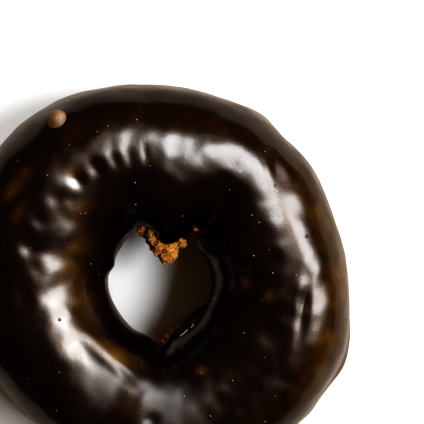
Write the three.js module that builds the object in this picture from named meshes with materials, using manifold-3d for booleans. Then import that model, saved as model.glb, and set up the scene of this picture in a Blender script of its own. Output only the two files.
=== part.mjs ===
// Chocolate-glazed ring doughnut, in millimetres, +Z up.
//
// Two pieces that a baker would name: the fried dough ring, and the coat of chocolate glaze that it was
// dipped in. The ring stands on its flat foot, which lies in the plane z = 0, and the origin is the
// centre of the object's box in that plane. The glaze runs over the top, down past the belly outside and
// past the narrowest part of the hole, and stops short over two bulges of bare dough in the hole's wall.
//
// Both pieces are skins lofted round the hole. Every station round the ring is one closed section in the
// plane through the hole's axis, so a point is given by its bearing round the hole and by its turn round
// the section: 0 is the outside, 90 the top and 180 the hole's side, all in degrees.

import * as THREE from "three";
import { mergeVertices } from "three/addons/utils/BufferGeometryUtils.js";
import Module from "manifold-3d";

// Dough ring
const DOUGH_RADIUS = 44.5; // outside, on average
const HOLE_RADIUS = 13.7; // of the bare dough, on average
const DOUGH_HEIGHT = 28.5; // foot to crest
const BELLY_HEIGHT = 12.5; // where the section is widest
const FOOT_PRESS = 2; // how much of the round underside the frying flattened
const SHOULDER_FULLNESS = 0.035; // how much further than an ellipse the section's shoulders stand out
const CREST_LEAN = 2; // how far outside the middle of the section its crest lies
const HOLE_OFFSET = { reach: 2, toward: 127 }; // the dough is widest toward this bearing
const OVAL = { reach: 2, toward: 130 };

// Uneven places in the rim, the hole's wall and the crest: where, how wide and how far out they swell.
const RIM_SWELLS = [
  { at: 38, width: 12, reach: 1.3 },
  { at: 60, width: 12, reach: 1.1 },
  { at: 98, width: 18, reach: -1 },
  { at: -20, width: 10, reach: 1 },
  { at: -75, width: 16, reach: 0.8 },
  { at: -170, width: 18, reach: 0.9 },
];
const HOLE_SWELLS = [
  { at: 80, width: 13, reach: -4 }, // hangs in and gives the hole its heart shape
  { at: 52, width: 15, reach: 4.8 },
  { at: 116, width: 14, reach: 1.8 },
  { at: -84, width: 16, reach: 2.6 },
  { at: -22, width: 18, reach: -0.6 },
  { at: -150, width: 35, reach: -0.8 },
];
const CREST_SWELLS = [
  { at: 20, width: 30, reach: 0.6 },
  { at: 150, width: 35, reach: 0.8 },
  { at: -55, width: 30, reach: -0.7 },
  { at: -115, width: 12, reach: -0.9 },
];

// Glaze
const GLAZE_THICKNESS = 1.2;
const GLAZE_CLEARANCE = 0.3; // between the dough and the glaze
const GLAZE_RIM_TURN = -22; // where the glaze ends outside, below the belly
const GLAZE_HOLE_TURN = 204; // where it ends in the hole
const RIM_RUNS = [
  { at: 15, width: 14, reach: -8 },
  { at: -24, width: 10, reach: -9 },
  { at: 88, width: 20, reach: 7 },
  { at: 128, width: 12, reach: -7 },
  { at: 175, width: 16, reach: 8 },
  { at: -130, width: 14, reach: -8 },
  { at: -80, width: 15, reach: 6 },
];
const HOLE_RUNS = [
  { at: 79, width: 30, reach: -42 }, // short over the lump, where the crumb shows
  { at: 165, width: 14, reach: 9 },
  { at: 10, width: 18, reach: 8 },
  { at: -64, width: 24, reach: -32 }, // and short over the ledge
  { at: -100, width: 14, reach: -8 },
];

// Places where bare dough stands out through the glaze. Each is centred on the dough's skin.
const CRUMB_LUMP = { bearing: 80, turn: 186, reach: 4.7, width: 8.6, height: 13 }; // hangs into the hole
const CRUMB_LEDGE = { bearing: -64, turn: 198, reach: 5, width: 16, height: 9 }; // low in the hole's wall
const BLISTER = { bearing: 121.5, turn: 44, reach: 2.7, width: 5.4, height: 5.4 }; // on the rim's shoulder

// Facets
const STATIONS = 84; // round the ring
const DOUGH_STEPS = 24; // round the dough's section
const GLAZE_STEPS = 15; // across the glaze, on each of its faces
const BULGE_STEPS = 12; // from pole to pole of the lump, the ledge and the blister

const degrees = THREE.MathUtils.degToRad;

// How far the swells move a place at this bearing. Each is a smooth hump that dies away past its width.
function swell(swells, bearing) {
  return swells.reduce((sum, { at, width, reach }) => {
    const away = THREE.MathUtils.euclideanModulo(bearing - at + 180, 360) - 180;
    return sum + reach * Math.exp(-((away / width) ** 2));
  }, 0);
}

// A point of the dough's section at this bearing, as a Vector2 of distance from the hole's axis and height.
function doughPoint(bearing, turn) {
  const outside =
    DOUGH_RADIUS +
    HOLE_OFFSET.reach * Math.cos(degrees(bearing - HOLE_OFFSET.toward)) +
    OVAL.reach * Math.cos(2 * degrees(bearing - OVAL.toward)) +
    swell(RIM_SWELLS, bearing);
  const inside = HOLE_RADIUS + swell(HOLE_SWELLS, bearing);
  const crest = DOUGH_HEIGHT + swell(CREST_SWELLS, bearing);

  const fuller = 1 + SHOULDER_FULLNESS * Math.sin(degrees(2 * turn)) ** 2;
  const across = Math.cos(degrees(turn)) * fuller;
  const up = Math.sin(degrees(turn)) * fuller;
  const rise = up > 0 ? crest - BELLY_HEIGHT : BELLY_HEIGHT + FOOT_PRESS;
  return new THREE.Vector2(
    (outside + inside) / 2 + ((outside - inside) / 2) * across + CREST_LEAN * Math.max(0, up) ** 2,
    Math.max(0, BELLY_HEIGHT + rise * up),
  );
}

// A point of the dough's skin in space.
function doughSkin(bearing, turn) {
  const { x: reach, y: height } = doughPoint(bearing, turn);
  return new THREE.Vector3(reach * Math.cos(degrees(bearing)), reach * Math.sin(degrees(bearing)), height);
}

// A point this far out from the dough's skin, and this far along it toward the hole.
function overDough(bearing, turn, out, along = 0) {
  const nudge = 1.5;
  const round = doughSkin(bearing + nudge, turn).sub(doughSkin(bearing - nudge, turn));
  const way = doughSkin(bearing, turn + nudge).sub(doughSkin(bearing, turn - nudge)).normalize();
  return doughSkin(bearing, turn)
    .addScaledVector(round.cross(way).normalize(), out)
    .addScaledVector(way, along);
}

function doughSection(bearing) {
  const turns = Array.from({ length: DOUGH_STEPS }, (_, i) => (360 * i) / DOUGH_STEPS);
  return turns.map((turn) => doughSkin(bearing, turn));
}

// The glaze's section: its outer face, a round lip, its inner face back again, and the other lip.
function glazeSection(bearing) {
  const first = GLAZE_RIM_TURN + swell(RIM_RUNS, bearing);
  const last = GLAZE_HOLE_TURN + swell(HOLE_RUNS, bearing);
  const turns = Array.from({ length: GLAZE_STEPS + 1 }, (_, i) =>
    THREE.MathUtils.lerp(first, last, i / GLAZE_STEPS),
  );
  const inner = GLAZE_CLEARANCE;
  const outer = GLAZE_CLEARANCE + GLAZE_THICKNESS;
  const middle = (inner + outer) / 2;
  const lip = GLAZE_THICKNESS / 2;
  return [
    ...turns.map((turn) => overDough(bearing, turn, outer)),
    overDough(bearing, last, middle, lip),
    ...turns.toReversed().map((turn) => overDough(bearing, turn, inner)),
    overDough(bearing, first, middle, -lip),
  ];
}

// Joins the sections of all the stations round the ring into one closed skin that faces out.
function loft(section) {
  const loops = Array.from({ length: STATIONS }, (_, i) => section((360 * i) / STATIONS));
  const round = loops[0].length;
  const index = [];
  for (let i = 0; i < STATIONS; i++) {
    for (let j = 0; j < round; j++) {
      const here = i * round;
      const next = ((i + 1) % STATIONS) * round;
      const k = (j + 1) % round;
      index.push(here + j, next + j, next + k, here + j, next + k, here + k);
    }
  }
  return new THREE.BufferGeometry().setFromPoints(loops.flat()).setIndex(index);
}

// An oval bulge on the dough's skin, grown all round by so much.
function bulge({ bearing, turn, reach, width, height }, grown = 0) {
  return new THREE.SphereGeometry(1, 2 * BULGE_STEPS, BULGE_STEPS)
    .scale(reach + grown, width / 2 + grown, height / 2 + grown)
    .rotateZ(degrees(bearing))
    .translate(...doughSkin(bearing, turn));
}

const wasm = await Module();
wasm.setup();

function toSolid(geometry) {
  const bare = geometry.clone().deleteAttribute("normal").deleteAttribute("uv");
  const closed = mergeVertices(bare, 1e-4);
  return new wasm.Manifold(
    new wasm.Mesh({
      numProp: 3,
      vertProperties: closed.attributes.position.array,
      triVerts: new Uint32Array(closed.index.array),
    }),
  );
}

function toGeometry(solid) {
  const { vertProperties, triVerts } = solid.getMesh();
  const geometry = new THREE.BufferGeometry()
    .setAttribute("position", new THREE.BufferAttribute(vertProperties, 3))
    .setIndex(new THREE.BufferAttribute(triVerts, 1));
  geometry.computeVertexNormals();
  return geometry;
}

function makeDoughRing() {
  const solid = toSolid(loft(doughSection))
    .add(toSolid(bulge(CRUMB_LUMP)))
    .add(toSolid(bulge(CRUMB_LEDGE)))
    .add(toSolid(bulge(BLISTER)));
  const fried = new THREE.MeshStandardMaterial({ color: 0xb9702e, roughness: 0.85, metalness: 0 });
  const mesh = new THREE.Mesh(toGeometry(solid), fried);
  mesh.name = "dough_ring";
  return mesh;
}

function makeChocolateGlaze() {
  const solid = toSolid(loft(glazeSection))
    .subtract(toSolid(bulge(CRUMB_LUMP, GLAZE_CLEARANCE)))
    .subtract(toSolid(bulge(CRUMB_LEDGE, GLAZE_CLEARANCE)))
    .subtract(toSolid(bulge(BLISTER, GLAZE_CLEARANCE)));
  const chocolate = new THREE.MeshStandardMaterial({ color: 0x1d0d06, roughness: 0.22, metalness: 0 });
  const mesh = new THREE.Mesh(toGeometry(solid), chocolate);
  mesh.name = "chocolate_glaze";
  return mesh;
}

const doughnut = new THREE.Group();
doughnut.add(makeDoughRing(), makeChocolateGlaze());

// The sections are drawn round the hole, so the whole is moved to put the middle of its box on the axis.
const middle = new THREE.Box3().setFromObject(doughnut, true).getCenter(new THREE.Vector3());
doughnut.position.set(-middle.x, -middle.y, 0);

export default doughnut;
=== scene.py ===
import math

import bmesh
import bpy
import numpy as np
from mathutils import Matrix, Vector, noise


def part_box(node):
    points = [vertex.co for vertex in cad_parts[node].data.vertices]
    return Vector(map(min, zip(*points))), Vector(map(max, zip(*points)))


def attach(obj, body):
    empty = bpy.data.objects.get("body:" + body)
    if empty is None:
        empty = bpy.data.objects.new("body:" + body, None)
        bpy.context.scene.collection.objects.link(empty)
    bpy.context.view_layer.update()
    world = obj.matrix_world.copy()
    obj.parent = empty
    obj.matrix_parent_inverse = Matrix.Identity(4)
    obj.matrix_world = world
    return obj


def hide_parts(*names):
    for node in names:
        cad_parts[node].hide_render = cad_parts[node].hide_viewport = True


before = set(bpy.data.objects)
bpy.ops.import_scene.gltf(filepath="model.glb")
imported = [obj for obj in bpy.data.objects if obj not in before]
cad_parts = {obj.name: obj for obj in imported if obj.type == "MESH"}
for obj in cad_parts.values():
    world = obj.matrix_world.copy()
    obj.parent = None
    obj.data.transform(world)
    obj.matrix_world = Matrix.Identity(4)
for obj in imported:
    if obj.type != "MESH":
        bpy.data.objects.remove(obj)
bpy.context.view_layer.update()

# Camera. It hangs straight above the table, off the doughnut's middle toward its upper right, and looks down
# through a long lens, so that its view cuts off the doughnut's left and lower rim. Its sizes are in metres.
CAMERA_OVER = (0.0138, 0.0162)
CAMERA_HEIGHT = 0.60
SEEN_WIDTH = 0.0995  # how much it takes in at the height of the doughnut's belly
SEEN_AT_HEIGHT = 0.0125

camera = bpy.data.objects.new("camera", bpy.data.cameras.new("camera"))
camera.location = (*CAMERA_OVER, CAMERA_HEIGHT)
camera.data.angle = 2 * math.atan(SEEN_WIDTH / 2 / (CAMERA_HEIGHT - SEEN_AT_HEIGHT))
bpy.context.scene.collection.objects.link(camera)
bpy.context.scene.camera = camera

# Table and studio. A white table top under soft lights that hang off to the right. Three of them light the
# table and the bare dough. The glaze shines in two wider ones of its own, and in two round panels close over
# the far half of the ring. The room is pale to look at but gives only a little warm light.
TABLE_HALF = 3.0
TABLE_ROUGHNESS = 0.8
TABLE_COLOUR = (0.47, 0.47, 0.47, 1)
TABLE_BOUNCE = (0.34, 0.28, 0.20, 1)  # its light on the dough
TABLE_MIRRORED = (0.31, 0.255, 0.21, 1)  # how dark it looks in the glaze
ROOM_SEEN = (1.0, 1.0, 1.0, 1)
ROOM_GLOW = (0.135, 0.08, 0.024, 1)
WHITE = (0.95, 0.98, 1.01)
WARM = (1, 0.70, 0.46)
# Each soft light: the bearing and lean off the vertical of the way to it, how wide it looks, all in degrees,
# its strength and its colour.
TABLE_LIGHTS = [(4, 38, 18, 2.5, WHITE), (-24, 36, 18, 1.7, WHITE), (52, 60, 24, 4.6, WHITE)]
GLAZE_LIGHTS = [(12, 37, 30, 2.35, WHITE), (12, 37, 48, 1.1, WARM)]
# Each round panel: where it hangs, how wide it is, its strength and its colour.
PANELS = [((0.034, 0.056, 0.148), 0.072, 0.155, WHITE), ((0.034, 0.056, 0.153), 0.125, 0.05, WARM)]
PANELS_FACE = (0.004, 0.034, 0.028)


def hung_light(name, kind, place, faces, strength, colour):
    light = bpy.data.objects.new(name, bpy.data.lights.new(name, kind))
    light.data.energy = strength
    light.data.color = colour
    light.location = place
    light.rotation_euler = (Vector(place) - Vector(faces)).to_track_quat("Z", "Y").to_euler()
    bpy.context.scene.collection.objects.link(light)
    return light


def soft_light(name, bearing, lean, wide, strength, colour):
    turn, tilt = math.radians(bearing), math.radians(lean)
    toward = (math.cos(turn) * math.sin(tilt), math.sin(turn) * math.sin(tilt), math.cos(tilt))
    light = hung_light(name, "SUN", toward, (0, 0, 0), strength, colour)
    light.data.angle = math.radians(wide)
    return light


def round_panel(name, place, wide, strength, colour):
    light = hung_light(name, "AREA", place, PANELS_FACE, strength, colour)
    light.data.shape = "DISK"
    light.data.size = wide
    return light


def surface(name):
    made = bpy.data.materials.new(name)
    made.use_nodes = True
    return made, made.node_tree, made.node_tree.nodes["Principled BSDF"]


def blended(tree, share, first, second):
    """A colour that goes from first to second with share; each is a colour or a socket."""
    mix = tree.nodes.new("ShaderNodeMix")
    mix.data_type = "RGBA"
    for value, socket in ((share, mix.inputs[0]), (first, mix.inputs[6]), (second, mix.inputs[7])):
        if isinstance(value, bpy.types.NodeSocket):
            tree.links.new(value, socket)
        else:
            socket.default_value = value
    return mix.outputs[2]


def white_paint():
    made, tree, shader = surface("white_table")
    ray = tree.nodes.new("ShaderNodeLightPath")
    unseen = blended(tree, ray.outputs["Is Glossy Ray"], TABLE_BOUNCE, TABLE_MIRRORED)
    colour = blended(tree, ray.outputs["Is Camera Ray"], unseen, TABLE_COLOUR)
    tree.links.new(colour, shader.inputs["Base Color"])
    shader.inputs["Roughness"].default_value = TABLE_ROUGHNESS
    return made


table_lights = [soft_light("table_light", *light) for light in TABLE_LIGHTS]
glaze_lights = [soft_light("glaze_light", *light) for light in GLAZE_LIGHTS]
glaze_lights += [round_panel("glaze_panel", *light) for light in PANELS]

room = bpy.data.worlds.new("room")
room.use_nodes = True
ray = room.node_tree.nodes.new("ShaderNodeLightPath")
glow = blended(room.node_tree, ray.outputs["Is Camera Ray"], ROOM_GLOW, ROOM_SEEN)
room.node_tree.links.new(glow, room.node_tree.nodes["Background"].inputs["Color"])
bpy.context.scene.world = room
bpy.context.scene.view_settings.view_transform = "Standard"
bpy.context.scene.view_settings.look = "Very High Contrast"

tabletop = bpy.data.meshes.new("table_top")
corners = [(x * TABLE_HALF, y * TABLE_HALF, 0) for x, y in ((-1, -1), (1, -1), (1, 1), (-1, 1))]
tabletop.from_pydata(corners, [], [(0, 1, 2, 3)])
tabletop.materials.append(white_paint())
table = bpy.data.objects.new("table_top", tabletop)
bpy.context.scene.collection.objects.link(table)

# Dough ring. One ring of raised dough, cut out and fried on both sides. It floated in the oil and was turned
# over once, so its crust is thin and mottled, and its foot is flat and browner than the rest.
MM = 0.001
# All of the doughnut is drawn round the hole, in millimetres: a bearing round the ring and a turn round
# the section, in degrees, where 0 is the outside, 90 the top and 180 the hole's side. The drawing is then
# laid on the frame's own ring.
DOUGH_RADIUS = 44.5
HOLE_RADIUS = 13.7
DOUGH_HEIGHT = 28.5
BELLY_HEIGHT = 12.5
FOOT_PRESS = 2  # how much of the round underside is flattened
FOOT_EDGE = 0.7  # how gently the skin turns into the flat foot
SHOULDER_FULLNESS = 0.035  # how much further than an ellipse the section's shoulders stand out
CREST_LEAN = 2  # how far outside the middle of the section its crest lies
HOLE_OFFSET = (2, 127)  # how far, and toward which bearing
OVAL = (2, 130)
# Uneven places, each with its bearing, its width in degrees and how far it swells.
RIM_SWELLS = [
    (38, 12, 1.3), (60, 12, 1.1), (98, 18, -1), (-20, 10, 1), (-75, 16, 0.8), (-170, 18, 0.9),
]
HOLE_SWELLS = [
    (80, 13, -4), (52, 15, 4.8), (116, 14, 1.8), (-84, 16, 2.6), (-22, 18, -0.6), (-150, 35, -0.8),
]
CREST_SWELLS = [(20, 30, 0.6), (150, 35, 0.8), (-55, 30, -0.7), (-115, 12, -0.9)]
# The ledge low in the hole's wall: its bearing, the height of its middle, how far it stands out of the wall,
# its width and its height.
LEDGE = (-64, 7.4, 4.2, 17, 9.5)
CRUST_RIPPLE = 0.28
CRUST_RIPPLE_LENGTHS = (7, 1.6)  # long waves, and a fine one a quarter as high
RIPPLED_FROM = (0.2, 2.5)  # the ripple starts and is full at these heights over the foot
BROWNED_BELOW = (4.5, 0.6)  # and the browning at these
DOUGH_STATIONS = 420
DOUGH_ROWS = 132
NUDGE = 0.4  # the step in degrees that finds which way the skin faces
# Each colour is mottled, from the first to the second.
CRUST = ((0.50, 0.25, 0.075, 1), (0.36, 0.145, 0.035, 1))
BROWNED = ((0.27, 0.095, 0.022, 1), (0.15, 0.045, 0.010, 1))
CRUMB = ((0.15, 0.052, 0.006, 1), (0.43, 0.2, 0.026, 1))
DOUGH_ROUGHNESS = (0.62, 0.85)
DOUGH_MOTTLE, DOUGH_GRAIN, DOUGH_BUMP = 5.0, 0.45, 0.22


def degrees_from(at, bearing):
    return (bearing - at + 180) % 360 - 180


def swell(swells, bearing):
    """How far the swells move this bearing. Each is a smooth hump that dies away past its width."""
    total = np.zeros_like(bearing, dtype=float)
    for at, width, reach in swells:
        total += reach * np.exp(-((degrees_from(at, bearing) / width) ** 2))
    return total


def ledge_hump(bearing, reach, height):
    """How far the ledge brings this place of the hole's wall inward."""
    at, middle, out, width, tall = LEDGE
    across = reach * np.sin(np.radians(degrees_from(at, bearing))) / (width / 2)
    near = np.cos(np.radians(bearing - at)) > 0
    return np.where(near, out * np.clip(1 - across**2 - ((height - middle) / (tall / 2)) ** 2, 0, 1), 0)


def dough_skin(bearing, turn):
    across_hole = HOLE_OFFSET[0] * np.cos(np.radians(bearing - HOLE_OFFSET[1]))
    oval = OVAL[0] * np.cos(np.radians(2 * (bearing - OVAL[1])))
    outside = DOUGH_RADIUS + across_hole + oval + swell(RIM_SWELLS, bearing)
    inside = HOLE_RADIUS + swell(HOLE_SWELLS, bearing)
    crest = DOUGH_HEIGHT + swell(CREST_SWELLS, bearing)
    fuller = 1 + SHOULDER_FULLNESS * np.sin(np.radians(2 * turn)) ** 2
    across = np.cos(np.radians(turn)) * fuller
    up = np.sin(np.radians(turn)) * fuller
    rise = np.where(up > 0, crest - BELLY_HEIGHT, BELLY_HEIGHT + FOOT_PRESS)
    height = BELLY_HEIGHT + rise * up
    height = (height + np.sqrt(height**2 + FOOT_EDGE**2)) / 2
    reach = (outside + inside) / 2 + (outside - inside) / 2 * across + CREST_LEAN * np.maximum(up, 0) ** 2
    inner_side = np.clip(-across * 2, 0, 1)
    reach = reach - inner_side * ledge_hump(bearing, inside, height)
    return np.stack([reach * np.cos(np.radians(bearing)), reach * np.sin(np.radians(bearing)), height], -1)


def skin_and_way_out(bearing, turn):
    """Points of the dough's skin and the directions straight out of it."""
    around = dough_skin(bearing + NUDGE, turn) - dough_skin(bearing - NUDGE, turn)
    along = dough_skin(bearing, turn + NUDGE) - dough_skin(bearing, turn - NUDGE)
    out = np.cross(around, along)
    return dough_skin(bearing, turn), out / np.linalg.norm(out, axis=-1, keepdims=True)


def smooth(low, high, value):
    share = np.clip((value - low) / (high - low), 0, 1)
    return share * share * (3 - 2 * share)


SEEDS_APART = 17.3  # how far off the next seed reads the noise


def lumpiness(points, size, octaves, seed):
    """Smooth noise at these points, from about -1 to 1, with features of this size."""
    flat = points.reshape(-1, 3) / size + seed * SEEDS_APART
    made = [noise.fractal(p, 1.0, 2.0, octaves) for p in flat.tolist()]
    return np.array(made).reshape(points.shape[:-1])


def hollows(points, size, seed):
    """0 in the middle of each cell of crumb, rising to about 1 on the walls between cells."""
    flat = points.reshape(-1, 3) / size + seed * SEEDS_APART
    made = [noise.voronoi(p)[0][0] for p in flat.tolist()]
    return np.array(made).reshape(points.shape[:-1])


def on_frame(points):
    """Lays a point of the drawing on the frame's dough ring, in metres."""
    low, high = (np.array(corner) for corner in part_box("dough_ring"))
    return low + (points - drawn_low) * (high - low) / (drawn_high - drawn_low)


def closed_skin(name, points, **fields):
    """A smooth closed mesh from a grid of points that closes both round the ring and round its section."""
    stations, rows = points.shape[:2]
    i, j = np.meshgrid(np.arange(stations), np.arange(rows), indexing="ij")
    i_next, j_next = (i + 1) % stations, (j + 1) % rows
    faces = np.stack([i * rows + j, i_next * rows + j, i_next * rows + j_next, i * rows + j_next], -1)
    mesh = bpy.data.meshes.new(name)
    mesh.vertices.add(stations * rows)
    mesh.vertices.foreach_set("co", on_frame(points).astype(np.float32).ravel())
    mesh.loops.add(faces.size)
    mesh.loops.foreach_set("vertex_index", faces.astype(np.int32).ravel())
    mesh.polygons.add(stations * rows)
    mesh.polygons.foreach_set("loop_start", np.arange(0, faces.size, 4, dtype=np.int32))
    for field, values in fields.items():
        layer = mesh.attributes.new(field, "FLOAT", "POINT")
        layer.data.foreach_set("value", values.astype(np.float32).ravel())
    mesh.update(calc_edges=True)
    mesh.validate()
    mesh.shade_smooth()
    piece = bpy.data.objects.new(name, mesh)
    bpy.context.scene.collection.objects.link(piece)
    return piece


def all_round(stations, rows):
    """Every bearing and turn of a grid that goes once round the ring and once round its section."""
    bearings = np.arange(stations) * 360 / stations
    return np.meshgrid(bearings, np.arange(rows) * 360 / rows, indexing="ij")


drawn = dough_skin(*all_round(360, 120)).reshape(-1, 3)
drawn_low, drawn_high = drawn.min(0), drawn.max(0)

skin, out = skin_and_way_out(*all_round(DOUGH_STATIONS, DOUGH_ROWS))
long_wave, fine_wave = CRUST_RIPPLE_LENGTHS
rippled = smooth(*RIPPLED_FROM, skin[..., 2]) * CRUST_RIPPLE
rippled = rippled * (lumpiness(skin, long_wave, 2, 4) + 0.25 * lumpiness(skin, fine_wave, 2, 5))
skin = skin + out * rippled[..., None]
skin[..., 2] = np.maximum(skin[..., 2], 0)
dough = closed_skin("fried_dough_ring", skin, browned=smooth(*BROWNED_BELOW, skin[..., 2]))


NOISE_SPAN = (0.32, 0.68)  # nearly all of the noise lies between these


def fine_grain():
    """Mottling and grain in the piece's own space, for crust, crumb and chocolate alike."""
    group = bpy.data.node_groups.new("fine_grain", "ShaderNodeTree")
    face = group.interface
    for title, start in (("Mottle Size", 4.0), ("Grain Size", 0.4)):
        face.new_socket(title, in_out="INPUT", socket_type="NodeSocketFloat").default_value = start
    face.new_socket("Mottle", in_out="OUTPUT", socket_type="NodeSocketFloat")
    face.new_socket("Grain", in_out="OUTPUT", socket_type="NodeSocketFloat")
    given = group.nodes.new("NodeGroupInput")
    place = group.nodes.new("ShaderNodeTexCoord")
    result = group.nodes.new("NodeGroupOutput")
    for size, title, detail in (("Mottle Size", "Mottle", 4.0), ("Grain Size", "Grain", 3.0)):
        per_metre = group.nodes.new("ShaderNodeMath")
        per_metre.operation = "DIVIDE"
        per_metre.inputs[0].default_value = 1 / MM
        group.links.new(given.outputs[size], per_metre.inputs[1])
        pattern = group.nodes.new("ShaderNodeTexNoise")
        pattern.inputs["Detail"].default_value = detail
        group.links.new(place.outputs["Object"], pattern.inputs["Vector"])
        group.links.new(per_metre.outputs[0], pattern.inputs["Scale"])
        spread = group.nodes.new("ShaderNodeMapRange")
        spread.inputs["From Min"].default_value, spread.inputs["From Max"].default_value = NOISE_SPAN
        group.links.new(pattern.outputs["Fac"], spread.inputs["Value"])
        group.links.new(spread.outputs["Result"], result.inputs[title])
    return group


GRAIN = fine_grain()


def grain_in(tree, mottle, grain):
    """The mottling and the grain as two sockets, with these sizes in millimetres."""
    node = tree.nodes.new("ShaderNodeGroup")
    node.node_tree = GRAIN
    node.inputs["Mottle Size"].default_value = mottle
    node.inputs["Grain Size"].default_value = grain
    return node.outputs["Mottle"], node.outputs["Grain"]


def ranged(tree, share, start, end):
    """A number that eases from start to end with share."""
    node = tree.nodes.new("ShaderNodeMapRange")
    node.interpolation_type = "SMOOTHSTEP"
    node.inputs["To Min"].default_value = start
    node.inputs["To Max"].default_value = end
    tree.links.new(share, node.inputs["Value"])
    return node.outputs["Result"]


def field(tree, name):
    node = tree.nodes.new("ShaderNodeAttribute")
    node.attribute_name = name
    return node.outputs["Fac"]


def bumped(tree, shader, height, depth):
    bump = tree.nodes.new("ShaderNodeBump")
    bump.inputs["Distance"].default_value = depth * MM
    tree.links.new(height, bump.inputs["Height"])
    tree.links.new(bump.outputs["Normal"], shader.inputs["Normal"])


def baked_dough():
    made, tree, shader = surface("fried_dough")
    mottle, grain = grain_in(tree, DOUGH_MOTTLE, DOUGH_GRAIN)
    crust, browned = blended(tree, mottle, *CRUST), blended(tree, mottle, *BROWNED)
    outside = blended(tree, field(tree, "browned"), crust, browned)
    inside = blended(tree, grain, *CRUMB)
    tree.links.new(blended(tree, field(tree, "torn"), outside, inside), shader.inputs["Base Color"])
    tree.links.new(ranged(tree, mottle, *DOUGH_ROUGHNESS), shader.inputs["Roughness"])
    bumped(tree, shader, grain, DOUGH_BUMP)
    return made


FRIED_DOUGH = baked_dough()
dough.data.materials.append(FRIED_DOUGH)
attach(dough, "root")
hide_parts("dough_ring")

# Torn crumb. Soft crumb stands out of the hole's wall in two places where the cutter tore the dough: a lump
# that hangs into the hole and gives it its heart shape, and a low ledge on the opposite side.
# Each ball of crumb: the bearing, how far its middle is from the hole's axis, the height of its middle, and
# its size inward, round the hole and upward.
HANGING_LUMP = [
    (77, 9.8, 15.5, 9.4, 5.0, 7), (88, 10.8, 16, 8.8, 4.6, 6), (97.5, 12.0, 16, 7.4, 3.6, 6),
    (105, 14.0, 16, 4.2, 3.4, 5), (66, 11.2, 16, 1.9, 3.0, 6), (59, 15.7, 14, 1.6, 7, 6),
]
LOW_LEDGE = [(-62, 14.4, 6.4, 8.2, 14, 8), (-42, 14.0, 6.2, 6.6, 8, 6)]
CRUMB_STEP = 0.16  # between the points of its mesh
CRUMB_DEPTH = 0.95
CRUMB_GRAIN = 1.5  # across one hollow of the crumb


def crumb_lumps():
    made = bmesh.new()
    for bearing, from_axis, height, inward, wide, tall in HANGING_LUMP + LOW_LEDGE:
        turned = Matrix.Rotation(math.radians(bearing), 4, "Z")
        sized = Matrix.Diagonal((inward / 2, wide / 2, tall / 2, 1))
        place = turned @ Matrix.Translation((from_axis, 0, height)) @ sized
        bmesh.ops.create_icosphere(made, subdivisions=3, radius=1, matrix=place)
    mesh = bpy.data.meshes.new("crumb_balls")
    made.to_mesh(mesh)
    made.free()
    balls = bpy.data.objects.new("crumb_balls", mesh)
    bpy.context.scene.collection.objects.link(balls)
    joined = balls.modifiers.new("joined", "REMESH")
    joined.mode = "VOXEL"
    joined.voxel_size = CRUMB_STEP
    solid = bpy.data.meshes.new_from_object(balls.evaluated_get(bpy.context.evaluated_depsgraph_get()))
    bpy.data.objects.remove(balls)
    return solid


def crumb_relief(points):
    """How far the torn crumb stands out here: walls between hollows of two sizes, over broad lumps."""
    cells = 0.65 * hollows(points, CRUMB_GRAIN, 1) + 0.35 * hollows(points, CRUMB_GRAIN / 2.3, 2)
    return CRUMB_DEPTH * (1.6 * cells - 0.9 + 0.6 * lumpiness(points, 2.6, 3, 3))


def all_torn(mesh):
    """Marks every point as torn crumb, for the dough's material."""
    mesh.attributes.new("torn", "FLOAT", "POINT").data.foreach_set("value", [1.0] * len(mesh.vertices))


crumb_mesh = crumb_lumps()
points = np.array([tuple(v.co) for v in crumb_mesh.vertices])
ways_out = np.array([tuple(v.normal) for v in crumb_mesh.vertices])
points = points + ways_out * crumb_relief(points)[:, None]
crumb_mesh.vertices.foreach_set("co", on_frame(points).astype(np.float32).ravel())
crumb_mesh.update()
all_torn(crumb_mesh)
crumb_mesh.shade_smooth()
crumb_mesh.materials.clear()
crumb_mesh.materials.append(FRIED_DOUGH)
crumb = bpy.data.objects.new("torn_crumb", crumb_mesh)
bpy.context.scene.collection.objects.link(crumb)


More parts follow.
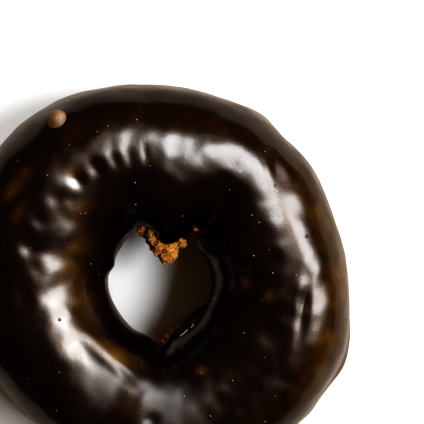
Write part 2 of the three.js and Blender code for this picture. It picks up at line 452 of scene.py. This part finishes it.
def scatter_tree():
    """Small round bits scattered over a piece, on the parts of it that face up enough."""
    tree = bpy.data.node_groups.new("scattered_bits", "GeometryNodeTree")
    face = tree.interface
    face.new_socket("Geometry", in_out="INPUT", socket_type="NodeSocketGeometry")
    face.new_socket("Piece", in_out="INPUT", socket_type="NodeSocketObject")
    face.new_socket("Bit", in_out="INPUT", socket_type="NodeSocketObject")
    face.new_socket("Material", in_out="INPUT", socket_type="NodeSocketMaterial")
    for title in ("Per Square Metre", "Facing Up", "Smallest", "Largest", "Flatness"):
        face.new_socket(title, in_out="INPUT", socket_type="NodeSocketFloat")
    face.new_socket("Seed", in_out="INPUT", socket_type="NodeSocketInt")
    face.new_socket("Geometry", in_out="OUTPUT", socket_type="NodeSocketGeometry")
    add, link = tree.nodes.new, tree.links.new
    given, result = add("NodeGroupInput"), add("NodeGroupOutput")
    piece, bit = add("GeometryNodeObjectInfo"), add("GeometryNodeObjectInfo")
    link(given.outputs["Piece"], piece.inputs["Object"])
    link(given.outputs["Bit"], bit.inputs["Object"])
    upward = add("ShaderNodeSeparateXYZ")
    link(add("GeometryNodeInputNormal").outputs["Normal"], upward.inputs[0])
    chosen = add("FunctionNodeCompare")
    chosen.operation = "GREATER_THAN"
    link(upward.outputs["Z"], chosen.inputs["A"])
    link(given.outputs["Facing Up"], chosen.inputs["B"])
    spread = add("GeometryNodeDistributePointsOnFaces")
    link(piece.outputs["Geometry"], spread.inputs["Mesh"])
    link(chosen.outputs["Result"], spread.inputs["Selection"])
    link(given.outputs["Per Square Metre"], spread.inputs["Density"])
    link(given.outputs["Seed"], spread.inputs["Seed"])
    size = add("FunctionNodeRandomValue")
    link(given.outputs["Smallest"], size.inputs[2])
    link(given.outputs["Largest"], size.inputs[3])
    link(given.outputs["Seed"], size.inputs["Seed"])
    shape = add("ShaderNodeCombineXYZ")
    shape.inputs[0].default_value = 1
    shape.inputs[1].default_value = 1
    link(given.outputs["Flatness"], shape.inputs[2])
    sized = add("ShaderNodeVectorMath")
    sized.operation = "SCALE"
    link(shape.outputs[0], sized.inputs[0])
    link(size.outputs[1], sized.inputs["Scale"])
    put = add("GeometryNodeInstanceOnPoints")
    link(spread.outputs["Points"], put.inputs["Points"])
    link(bit.outputs["Geometry"], put.inputs["Instance"])
    link(spread.outputs["Rotation"], put.inputs["Rotation"])
    link(sized.outputs[0], put.inputs["Scale"])
    real, dressed = add("GeometryNodeRealizeInstances"), add("GeometryNodeSetMaterial")
    link(put.outputs[0], real.inputs[0])
    link(real.outputs[0], dressed.inputs["Geometry"])
    link(given.outputs["Material"], dressed.inputs["Material"])
    link(dressed.outputs[0], result.inputs[0])
    return tree


SCATTER = scatter_tree()


def round_bit(name, subdivisions, raggedness):
    """A ball of one metre's radius, knocked out of round by this share. It is scattered much smaller."""
    made = bmesh.new()
    bmesh.ops.create_icosphere(made, subdivisions=subdivisions, radius=1)
    for vertex in made.verts:
        vertex.co *= 1 + raggedness * noise.noise(vertex.co * 1.7 + Vector((3.1, 0.7, 5.3)))
    mesh = bpy.data.meshes.new(name)
    made.to_mesh(mesh)
    made.free()
    return bpy.data.objects.new(name, mesh)


def scattered(name, piece, bit, material, per_square_metre, facing_up, smallest, largest, flatness, seed):
    """The bits as one plain mesh. Their smallest and largest radius are in millimetres."""
    made = bpy.data.objects.new(name, bpy.data.meshes.new(name))
    bpy.context.scene.collection.objects.link(made)
    live = made.modifiers.new("scatter", "NODES")
    live.node_group = SCATTER
    values = {
        "Piece": piece, "Bit": bit, "Material": material, "Per Square Metre": float(per_square_metre),
        "Facing Up": float(facing_up), "Smallest": smallest * MM, "Largest": largest * MM,
        "Flatness": float(flatness), "Seed": seed,
    }
    for item in SCATTER.interface.items_tree:
        if item.in_out == "INPUT" and item.name in values:
            live[item.identifier] = values[item.name]
    mesh = bpy.data.meshes.new_from_object(made.evaluated_get(bpy.context.evaluated_depsgraph_get()))
    made.modifiers.clear()
    made.data = mesh
    mesh.name = name
    mesh.shade_smooth()
    return made


CRUMB_BIT = round_bit("crumb_bit", 2, 0.9)
# The numbers here and below: how many on a square metre, how much the piece must face up under them, their
# smallest and largest radius, how high they are for their width, and the seed.
crumbs = scattered("loose_crumbs", crumb, CRUMB_BIT, FRIED_DOUGH, 1.1e6, -1, 0.12, 0.42, 0.8, 4)
all_torn(crumbs.data)
for piece in (crumb, crumbs):
    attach(piece, "root")
    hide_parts("dough_ring")

# Blister. A bubble of dough on the ring's shoulder, which puffed up in the fryer and stands bare out of the
# glaze. Its skin is tan and smooth, with a few pin holes.
BLISTER_AT = (121.5, 50)  # bearing, and turn round the section
BLISTER_OUT = 0.9
BLISTER_SIZE = (2.6, 2.6, 2.45)  # half its width each way, and half its height off the skin
# Its pin holes: how deep and how far apart, as shares of its size, and where a hole's wall starts and ends.
PIT_DEPTH, PIT_SPACING, PIT_WALL = 0.035, 0.42, (0.22, 0.08)
TAN = ((0.105, 0.051, 0.018, 1), (0.060, 0.029, 0.010, 1))
TAN_ROUGHNESS = 0.55
TAN_MOTTLE, TAN_GRAIN, TAN_BUMP = 2.2, 0.3, 0.03


def blister_skin():
    middle, out = skin_and_way_out(*(np.array(float(number)) for number in BLISTER_AT))
    made = bmesh.new()
    bmesh.ops.create_icosphere(made, subdivisions=5, radius=1)
    mesh = bpy.data.meshes.new("blister")
    made.to_mesh(mesh)
    made.free()
    points = np.array([tuple(v.co) for v in mesh.vertices])
    pits = -PIT_DEPTH * smooth(*PIT_WALL, hollows(points, PIT_SPACING, 11))
    uneven = pits + 0.02 * lumpiness(points, 0.8, 2, 12)
    points = points * (1 + uneven)[:, None] * BLISTER_SIZE
    turned = np.array(Vector(out).to_track_quat("Z", "Y").to_matrix())
    points = points @ turned.T + middle + out * BLISTER_OUT
    mesh.vertices.foreach_set("co", on_frame(points).astype(np.float32).ravel())
    mesh.update()
    mesh.shade_smooth()
    return mesh


def tan_crust():
    made, tree, shader = surface("tan_crust")
    mottle, grain = grain_in(tree, TAN_MOTTLE, TAN_GRAIN)
    tree.links.new(blended(tree, mottle, *TAN), shader.inputs["Base Color"])
    shader.inputs["Roughness"].default_value = TAN_ROUGHNESS
    bumped(tree, shader, grain, TAN_BUMP)
    return made


blister = bpy.data.objects.new("fried_blister", blister_skin())
blister.data.materials.append(tan_crust())
bpy.context.scene.collection.objects.link(blister)
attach(blister, "root")
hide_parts("dough_ring")

# Glaze. Chocolate icing that the ring was dipped in while warm: it ran down the sides and into the hole, and
# set with a round bead along its lower edge. It is thin enough over ridges to look amber. The amber on its
# right shoulder and on the hole's slopes that face the lights is also painted light.
GLAZE_THICKNESS = 1.2
GLAZE_THINNEST = 0.35
GLAZE_SEAT = 0.08  # from the dough to the glaze's inner face
GLAZE_RIM_TURN = -22
GLAZE_HOLE_TURN = 204
LIP = 1.3  # how far from its edge the glaze rounds off
BEAD, BEAD_FROM_EDGE, BEAD_WIDTH = 0.35, 1.7, 1.3
# Where the lower edges run further or stop short, as for the swells.
RIM_RUNS = [
    (15, 14, -8), (-24, 10, -9), (88, 20, 7), (128, 12, -7), (175, 16, 8), (-130, 14, -8), (-80, 15, 6),
    (41, 5, -6), (66, 4, -4), (-45, 5, -7), (-102, 4, -5), (152, 4, -5), (-155, 4, -4),
]
HOLE_RUNS = [
    (79, 30, -42), (165, 14, 9), (10, 18, 8), (-64, 24, -13), (-100, 14, -8), (140, 5, 5), (30, 5, 5),
]
# Drips that stand out of the sides: the bearing, the turn, how wide they are in each, and how far out.
DRIPS = [
    (157, 160, 11, 15, 1.7), (38, 166, 8, 16, 2.6), (-72, 176, 7, 14, 0.9), (120, 160, 8, 14, 0.6),
    (-23, -14, 13, 9, 1.5), (-40, -8, 6, 9, 0.8), (15, -12, 8, 10, 0.4), (128, -14, 8, 10, 0.4),
    (-130, -12, 9, 10, 0.6), (60, -14, 7, 10, 0.5), (-95, -12, 7, 10, 0.5), (170, -10, 9, 10, 0.4),
    (121.5, 50, 4.6, 10, 0.6),
]
# Folds in the glaze, seen from above: the bearing and reach of the middle, how far it is turned from lying
# along the ring, its length, its width, and how high or deep it is.
FOLDS = [
    (-8, 33.3, 0, 6.0, 1.05, -0.42), (-8, 40.0, 0, 7, 2.6, 0.45),
    (46, 38.1, -28, 4.2, 1.4, -0.48), (37, 42.0, 0, 4.5, 2.4, 0.35),
    (238, 19.6, -11, 6.5, 1.0, 0.2), (238.4, 21.5, -11, 6.5, 1.0, -0.22),
    (267, 30.5, 10, 1.6, 1.4, -0.6), (262, 27, 60, 3, 1.6, 0.3),
]
FOLDED_FACING = (0.1, 0.5)  # the folds start and are full where the dough faces up this much
# Creases across the crest, as swells.
CREST_CREASES = [
    (95.5, 1.6, -0.14), (102.5, 2.2, -0.14), (109, 2.4, -0.2), (117.5, 3.0, -0.26), (127, 3.2, -0.32),
    (139.5, 4.0, -0.34), (151, 3.2, -0.22), (163, 4.0, -0.3), (185, 6, -0.3), (203, 5, -0.2),
]
CREASED_REACH, CREASED_HALF_WIDTH = 30.8, 2.0  # the middle of the creased band, and its half width
# Where it looks amber, partly because it is thin and partly as painted light where it faces the lights, as
# on the right shoulder and the hole's left slope: the bearing and reach, how wide it is in each, and how
# amber it is.
AMBER_AND_LIT_PLACES = [
    (145, 39.5, 7, 1.4, 0.6), (152, 36, 4, 1.2, 0.45), (127, 33, 4, 1.6, 0.3), (135, 25.5, 6, 2.0, 0.4),
    (163, 21.5, 14, 2.6, 0.5), (192, 19.5, 22, 3.2, 0.42), (238, 19.4, 13, 1.6, 0.9), (255, 27, 6, 3, 0.3),
    (2, 41, 42, 3.8, 0.62), (-28, 41.5, 16, 4, 0.45), (-62, 39, 14, 3, 0.25), (85, 39, 40, 3, 0.12),
    (3, 20.5, 4, 1.1, 0.5), (-5, 25.5, 4, 1.3, 0.4), (-63, 22, 3, 1.0, 0.8),
]
# Where it set with a duller, satin skin, in the same way.
SATIN_PLACES = [(241, 26.5, 11, 5.5, 1.0), (274, 28, 17, 6, 1.0)]
GLAZE_WAVE = 0.25
GLAZE_WAVE_LENGTHS = (8.5, 3.2)
GLAZE_STATIONS = 560
GLAZE_ROWS = 128
CROWDED_ROWS = 0.28  # how much the rows crowd toward the glaze's edges
GLAZE_INNER_ROWS = 18
# Each colour is mottled, from the first to the second.
DARK_CHOCOLATE = ((0.0020, 0.0005, 0.0003, 1), (0.0048, 0.0011, 0.0006, 1))
# The amber colour is partly thin chocolate's own and partly painted light on the places that face the
# lights.
AMBER_AND_LIT_CHOCOLATE = ((0.050, 0.025, 0.0035, 1), (0.120, 0.064, 0.008, 1))
GLAZE_ROUGHNESS = (0.2, 0.25)
GLAZE_MOTTLE, GLAZE_GRAIN, GLAZE_BUMP = 7.0, 0.8, 0.006
SATIN_ROUGHER = 0.3


def glaze_reach(bearing):
    """The turns where the glaze starts on the rim and ends in the hole."""
    return GLAZE_RIM_TURN + swell(RIM_RUNS, bearing), GLAZE_HOLE_TURN + swell(HOLE_RUNS, bearing)


def bearing_and_reach(points):
    """The bearing of each point round the hole's axis, and how far off the axis it is."""
    bearing = np.degrees(np.arctan2(points[..., 1], points[..., 0]))
    return bearing, np.hypot(points[..., 0], points[..., 1])


def patches(places, points):
    """How much each point lies in any of these places of the glaze, from 0 to the place's own share."""
    bearing, reach = bearing_and_reach(points)
    most = np.zeros(reach.shape)
    for at, from_axis, wide, deep, share in places:
        off = (degrees_from(at, bearing) / wide) ** 2 + ((reach - from_axis) / deep) ** 2
        most = np.maximum(most, share * np.exp(-off))
    return most


def folded(points):
    """How far the folds and the creases lift the glaze at these points of its top."""
    bearing, reach = bearing_and_reach(points)
    creased = np.exp(-(((reach - CREASED_REACH) / CREASED_HALF_WIDTH) ** 2))
    lift = swell(CREST_CREASES, bearing) * creased
    for at, from_axis, turned, length, width, height in FOLDS:
        middle = from_axis * np.array([math.cos(math.radians(at)), math.sin(math.radians(at))])
        way = math.radians(at + 90 + turned)
        away = points[..., :2] - middle
        u = away[..., 0] * math.cos(way) + away[..., 1] * math.sin(way)
        v = away[..., 1] * math.cos(way) - away[..., 0] * math.sin(way)
        lift = lift + height * np.exp(-((u / length) ** 2) - (v / width) ** 2)
    return lift


def from_edge(base):
    """How far each point is along the dough from the nearer of the glaze's two edges."""
    steps = np.linalg.norm(np.diff(base, axis=1), axis=-1)
    from_rim = np.concatenate([np.zeros((len(base), 1)), np.cumsum(steps, 1)], 1)
    return np.minimum(from_rim, from_rim[:, -1:] - from_rim)


def glaze_thickness(bearing, turn, base, out, edge):
    """How thick the glaze is at these points, apart from the rounding of its edges."""
    bead = BEAD * np.exp(-(((edge - BEAD_FROM_EDGE) / BEAD_WIDTH) ** 2))
    drips = 0
    for at, turned, wide, deep, out_by in DRIPS:
        off = (degrees_from(at, bearing) / wide) ** 2 + ((turn - turned) / deep) ** 2
        drips = drips + out_by * np.exp(-off)
    long_wave, short_wave = GLAZE_WAVE_LENGTHS
    waves = GLAZE_WAVE * (lumpiness(base, long_wave, 2, 6) + 0.3 * lumpiness(base, short_wave, 1, 7))
    on_top = smooth(*FOLDED_FACING, out[..., 2])
    thickness = GLAZE_THICKNESS + bead + drips + on_top * folded(base) + waves
    return np.maximum(thickness, GLAZE_THINNEST)


def dipped_coat():
    """The glaze's outer face from the rim to the hole, and its inner face back again."""
    bearing = np.arange(GLAZE_STATIONS)[:, None] * 360 / GLAZE_STATIONS
    first, last = glaze_reach(bearing)
    crowded = 0.5 - 0.5 * np.cos(np.linspace(0, math.pi, GLAZE_ROWS))
    rows = (1 - CROWDED_ROWS) * np.linspace(0, 1, GLAZE_ROWS) + CROWDED_ROWS * crowded
    turn = first + (last - first) * rows
    base, out = skin_and_way_out(np.broadcast_to(bearing, turn.shape), turn)
    edge = from_edge(base)
    round_off = np.sqrt(np.clip(1 - (1 - np.clip(edge / LIP, 0, 1)) ** 2, 0, 1))
    thickness = round_off * glaze_thickness(bearing, turn, base, out, edge)
    outer = base + out * (GLAZE_SEAT + thickness)[..., None]

    back = last + (first - last) * np.linspace(0, 1, GLAZE_INNER_ROWS + 2)[1:-1]
    inner_base, inner_out = skin_and_way_out(np.broadcast_to(bearing, back.shape), back)
    coat = np.concatenate([outer, inner_base + inner_out * GLAZE_SEAT], 1)
    unseen = np.zeros(back.shape)
    # Amber: thin chocolate, and painted light where the glaze faces the lights.
    amber = patches(AMBER_AND_LIT_PLACES, base) * (0.65 + 0.5 * lumpiness(base, 4.0, 3, 8))
    satin = patches(SATIN_PLACES, base)
    return coat, np.concatenate([amber, unseen], 1), np.concatenate([satin, unseen], 1)


coat, amber, satin = dipped_coat()
glaze = closed_skin("chocolate_glaze_coat", coat, amber=amber, satin=satin)


def chocolate():
    made, tree, shader = surface("chocolate_glaze")
    mottle, grain = grain_in(tree, GLAZE_MOTTLE, GLAZE_GRAIN)
    # The amber mix is partly the thin glaze's colour and partly painted light.
    dark, amber_and_lit_colour = blended(tree, mottle, *DARK_CHOCOLATE), blended(tree, mottle, *AMBER_AND_LIT_CHOCOLATE)
    tree.links.new(blended(tree, field(tree, "amber"), dark, amber_and_lit_colour), shader.inputs["Base Color"])
    duller = tree.nodes.new("ShaderNodeMath")
    duller.operation = "MULTIPLY_ADD"
    duller.inputs[1].default_value = SATIN_ROUGHER
    tree.links.new(field(tree, "satin"), duller.inputs[0])
    tree.links.new(ranged(tree, mottle, *GLAZE_ROUGHNESS), duller.inputs[2])
    tree.links.new(duller.outputs["Value"], shader.inputs["Roughness"])
    bumped(tree, shader, grain, GLAZE_BUMP)
    return made


glaze.data.materials.append(chocolate())
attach(glaze, "root")
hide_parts("chocolate_glaze")

# Specks, bubbles and pin holes. Cream grains of sugar that stuck to the wet glaze, small air bubbles that
# stand in it as glossy domes, and the pin holes that others left when they burst.
SPECK_BIT = round_bit("speck_bit", 1, 0.5)
BUBBLE_BIT = round_bit("bubble_bit", 2, 0)


def plain(name, colour, roughness):
    made, _, shader = surface(name)
    shader.inputs["Base Color"].default_value = colour
    shader.inputs["Roughness"].default_value = roughness
    return made


SUGAR = plain("sugar_grain", (0.42, 0.34, 0.22, 1), 0.5)
BUBBLE = plain("glaze_bubble", (0.006, 0.0022, 0.001, 1), 0.08)
PIN_HOLE = plain("pin_hole", (0.001, 0.0005, 0.0003, 1), 0.9)
bits = [
    scattered("sugar_grains", glaze, SPECK_BIT, SUGAR, 6500, 0.1, 0.08, 0.17, 0.7, 21),
    scattered("glaze_bubbles", glaze, BUBBLE_BIT, BUBBLE, 3200, 0.25, 0.18, 0.52, 0.45, 22),
    scattered("pin_holes", glaze, SPECK_BIT, PIN_HOLE, 42000, 0.25, 0.06, 0.13, 0.25, 23),
]
for piece in bits:
    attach(piece, "root")
    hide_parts("chocolate_glaze")

# Which lights fall on what. The glaze and all that stands in it take only the lights and panels of their
# own. The table's lights fall on everything else.
glazed = bpy.data.collections.new("glazed")
unglazed = bpy.data.collections.new("unglazed")
for piece in (glaze, *bits):
    glazed.objects.link(piece)
    unglazed.objects.link(piece)
for entry in unglazed.collection_objects:
    entry.light_linking.link_state = "EXCLUDE"
for light in glaze_lights:
    light.light_linking.receiver_collection = glazed
for light in table_lights:
    light.light_linking.receiver_collection = unglazed
